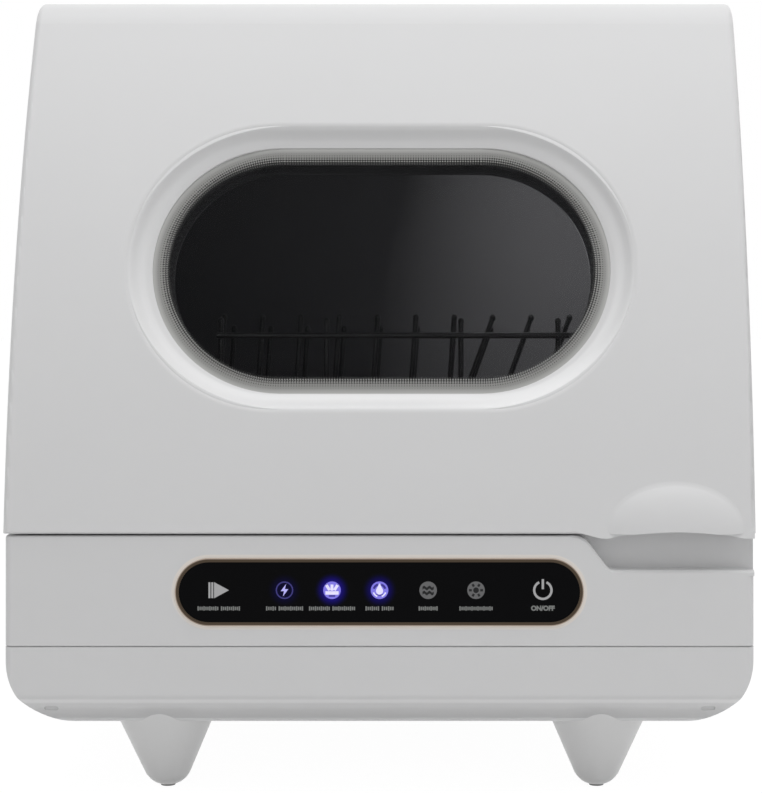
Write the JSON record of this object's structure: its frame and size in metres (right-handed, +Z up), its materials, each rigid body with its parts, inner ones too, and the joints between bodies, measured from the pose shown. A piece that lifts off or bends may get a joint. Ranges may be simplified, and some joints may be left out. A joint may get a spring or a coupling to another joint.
{
  "type": "countertop dishwasher",
  "caption": "Countertop dishwasher on cone legs: curved lift-up door with a stadium window, touch panel, wire rack, spray arm and a tank filled from the top.",
  "frame": {"origin": "on the surface it stands on, under the middle of the overall outline", "axes": "+X to the right seen from the front, +Y from the door towards the back, +Z up"},
  "size_m": [0.422, 0.4539, 0.463],
  "materials": {
    "white_plastic": "satin",
    "liner_plastic": "matt",
    "tub_plastic": "satin",
    "black_gloss": "gloss",
    "copper_trim": "polished rose copper",
    "rubber": "matt",
    "pad_rubber": "matt",
    "circuit_board": "satin",
    "grey_plastic": "matt",
    "spray_plastic": "satin",
    "filter_steel": "brushed",
    "heater_steel": "brushed",
    "clear_plastic": "satin",
    "fan_plastic": "matt",
    "hinge_steel": "zinc plated",
    "window_glass": "polished",
    "black_wire": "nylon dipped"
  },
  "bodies": {
    "cabinet": {"bottom_shell": "white_plastic", "base_casing": "white_plastic", "cabinet_shell": "white_plastic", "back_panel": "white_plastic", "leg_front_left": "white_plastic", "leg_front_right": "white_plastic", "leg_rear_left": "white_plastic", "leg_rear_right": "white_plastic", "rack_rail_left": "liner_plastic", "rack_rail_right": "liner_plastic", "vent_grille": "liner_plastic", "tub": "tub_plastic", "panel_lens": "black_gloss", "panel_trim": "copper_trim", "leg_pads": "pad_rubber", "door_seal": "rubber", "drain_hose": "rubber", "wash_hose": "rubber", "touch_board": "circuit_board", "control_board": "circuit_board", "sump": "grey_plastic", "wash_pump": "grey_plastic", "drain_pump": "grey_plastic", "inlet_valve": "grey_plastic", "drain_spigot": "grey_plastic", "door_switch": "grey_plastic", "fill_funnel": "grey_plastic", "fill_pipe": "grey_plastic", "air_duct": "grey_plastic", "spray_post": "grey_plastic", "heater": "heater_steel", "water_tank": "clear_plastic", "fan_housing": "fan_plastic", "hinge_bracket_left": "hinge_steel", "hinge_bracket_right": "hinge_steel", "hinge_pins": "hinge_steel", "catch_plates": "hinge_steel", "casing_screws": "hinge_steel"},
    "door": {"door_shell": "white_plastic", "door_liner": "liner_plastic", "outer_glass": "window_glass", "glass_gasket": "rubber", "inner_glass": "window_glass", "door_magnets": "hinge_steel", "hinge_arm_left": "hinge_steel", "hinge_arm_right": "hinge_steel"},
    "rack": {"rack_frame": "black_wire", "rack_floor": "black_wire", "tine_row_front": "black_wire", "tine_row_rear": "black_wire", "front_rail": "black_wire", "side_rail_left": "black_wire", "side_rail_right": "black_wire", "rack_runners": "liner_plastic"},
    "spray_arm": {"spray_arm": "spray_plastic"},
    "filter_cup": {"filter_cup": "filter_steel"},
    "fan_rotor": {"fan_rotor": "fan_plastic"},
    "fill_cap": {"fill_cap": "white_plastic"}
  },
  "joints": [
    {"name": "door_hinge", "type": "hinge", "parent": "cabinet", "child": "door", "pos_m": [0, -0.1016, 0.435], "axis": [-1, 0, 0], "range_deg": [0, 90]},
    {"name": "rack_slide", "type": "slide", "parent": "cabinet", "child": "rack", "axis": [0, -1, 0], "range_m": [0, 0.19]},
    {"name": "spray_arm_spin", "type": "hinge", "parent": "cabinet", "child": "spray_arm", "pos_m": [0, -0.012, 0.15], "axis": [0, 0, 1], "continuous": true},
    {"name": "filter_twist", "type": "hinge", "parent": "cabinet", "child": "filter_cup", "pos_m": [0.076, -0.074, 0.115], "axis": [0, 0, 1], "range_deg": [0, 40]},
    {"name": "fan_spin", "type": "hinge", "parent": "cabinet", "child": "fan_rotor", "pos_m": [0.118, 0.193, 0.408], "axis": [0, 1, 0], "continuous": true},
    {"name": "cap_lift", "type": "slide", "parent": "cabinet", "child": "fill_cap", "axis": [0, 0, 1], "range_m": [0, 0.03]}
  ],
  "couplings": [
    {"joint": "rack_slide", "follows": "door_hinge", "m_per_rad": 0.12}
  ]
}
